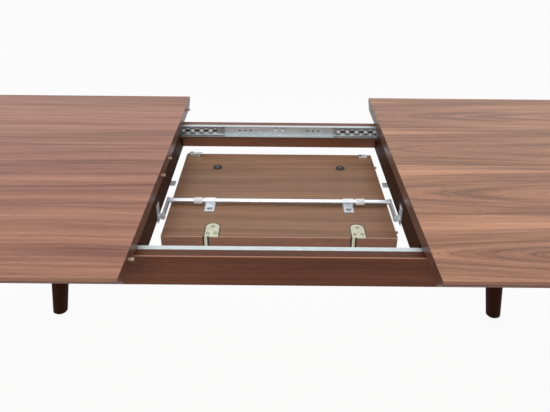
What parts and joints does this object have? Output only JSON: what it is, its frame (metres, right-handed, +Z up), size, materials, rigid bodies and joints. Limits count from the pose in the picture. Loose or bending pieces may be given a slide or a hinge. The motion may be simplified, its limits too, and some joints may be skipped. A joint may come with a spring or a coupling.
{
  "type": "butterfly leaf table",
  "caption": "Extending walnut table with sliding tops on ball slides over a fixed frame, splayed round legs and a folded butterfly leaf on a lifting rod.",
  "frame": {"origin": "floor under the middle of the table, with the tops pulled open", "axes": "+Z up, +X along the table's length to the right, +Y to the back"},
  "size_m": [2.02, 0.9, 0.75],
  "materials": {
    "walnut": "satin lacquer",
    "dark_wood": "satin lacquer",
    "leg_wood": "satin lacquer",
    "rail_wood": "matt stain",
    "dowel_wood": "plain",
    "zinc": "zinc plated",
    "bright_steel": "satin chrome",
    "yellow_zinc": "yellow passivated",
    "black_plastic": "matt",
    "white_plastic": "satin",
    "cage_steel": "dark phosphate"
  },
  "bodies": {
    "frame": {"arm_bracket_screws": "zinc", "arm_brackets": "zinc", "arm_pivot_studs": "bright_steel", "back_apron": "dark_wood", "back_slide_rail": "zinc", "corner_blocks": "rail_wood", "front_apron": "dark_wood", "front_slide_rail": "zinc", "leaf_guide_screws": "zinc", "leaf_guides": "zinc", "left_cross_rail": "rail_wood", "left_end_rail": "rail_wood", "leg_back_left": "leg_wood", "leg_back_right": "leg_wood", "leg_bolts": "zinc", "leg_front_left": "leg_wood", "leg_front_right": "leg_wood", "leg_glides": "black_plastic", "leg_plates": "zinc", "right_cross_rail": "rail_wood", "right_end_rail": "rail_wood", "slide_rail_screws": "zinc"},
    "left_top": {"left_top_panel": "walnut", "left_runners": "rail_wood", "left_runner_screws": "zinc", "left_slide_members": "zinc", "left_top_dowels": "dowel_wood"},
    "right_top": {"right_top_panel": "walnut", "right_runners": "rail_wood", "right_runner_screws": "zinc", "right_slide_members": "zinc"},
    "left_cages": {"left_ball_cages": "cage_steel", "left_slide_balls": "bright_steel"},
    "right_cages": {"right_ball_cages": "cage_steel", "right_slide_balls": "bright_steel"},
    "arms": {"swing_arms": "zinc", "pivot_rod": "bright_steel", "rod_collars": "white_plastic"},
    "leaf_b": {"leaf_b_panel": "walnut", "leaf_b_hinge_plates": "yellow_zinc", "leaf_b_hinge_screws": "yellow_zinc", "leaf_b_dowels": "dowel_wood"},
    "lock_lever": {"leaf_lock_lever": "bright_steel"},
    "leaf_a": {"leaf_a_panel": "walnut", "leaf_a_hinge_plates": "yellow_zinc", "leaf_a_hinge_screws": "yellow_zinc", "hinge_pins": "yellow_zinc", "leaf_a_dowels": "dowel_wood", "rod_clips": "bright_steel", "clip_screws": "bright_steel", "leaf_lock_body": "yellow_zinc", "leaf_lock_screw": "bright_steel", "leaf_strike": "bright_steel", "leaf_strike_screw": "bright_steel", "leaf_bumpers": "black_plastic", "leaf_bumper_screws": "bright_steel"}
  },
  "joints": [
    {"name": "left_top_slide", "type": "slide", "parent": "frame", "child": "left_top", "axis": [-1, 0, 0], "range_m": [-0.2595, 0]},
    {"name": "right_top_slide", "type": "slide", "parent": "frame", "child": "right_top", "axis": [1, 0, 0], "range_m": [-0.2595, 0]},
    {"name": "left_cage_roll", "type": "slide", "parent": "frame", "child": "left_cages", "axis": [-1, 0, 0], "range_m": [-0.13, 0.0005]},
    {"name": "right_cage_roll", "type": "slide", "parent": "frame", "child": "right_cages", "axis": [1, 0, 0], "range_m": [-0.13, 0.0005]},
    {"name": "leaf_lift", "type": "hinge", "parent": "frame", "child": "arms", "pos_m": [0, -0.09157, 0.6585], "axis": [1, 0, 0], "range_deg": [0, 132.21]},
    {"name": "leaf_turn", "type": "hinge", "parent": "arms", "child": "leaf_a", "pos_m": [0, -0.018, 0.6585], "axis": [1, 0, 0], "range_deg": [-0.5, 48.3]},
    {"name": "leaf_unfold", "type": "hinge", "parent": "leaf_a", "child": "leaf_b", "pos_m": [0, -0.159, 0.6212], "axis": [-1, 0, 0], "range_deg": [0, 180]},
    {"name": "leaf_lock_turn", "type": "hinge", "parent": "leaf_a", "child": "lock_lever", "pos_m": [-0.235, 0.254, 0.6568], "axis": [0, 0, -1], "range_deg": [0, 180]}
  ],
  "couplings": [
    {"joint": "left_cage_roll", "follows": "left_top_slide", "ratio": 0.5},
    {"joint": "right_cage_roll", "follows": "right_top_slide", "ratio": 0.5},
    {"joint": "leaf_turn", "follows": "leaf_lift", "ratio": 0.36152}
  ]
}
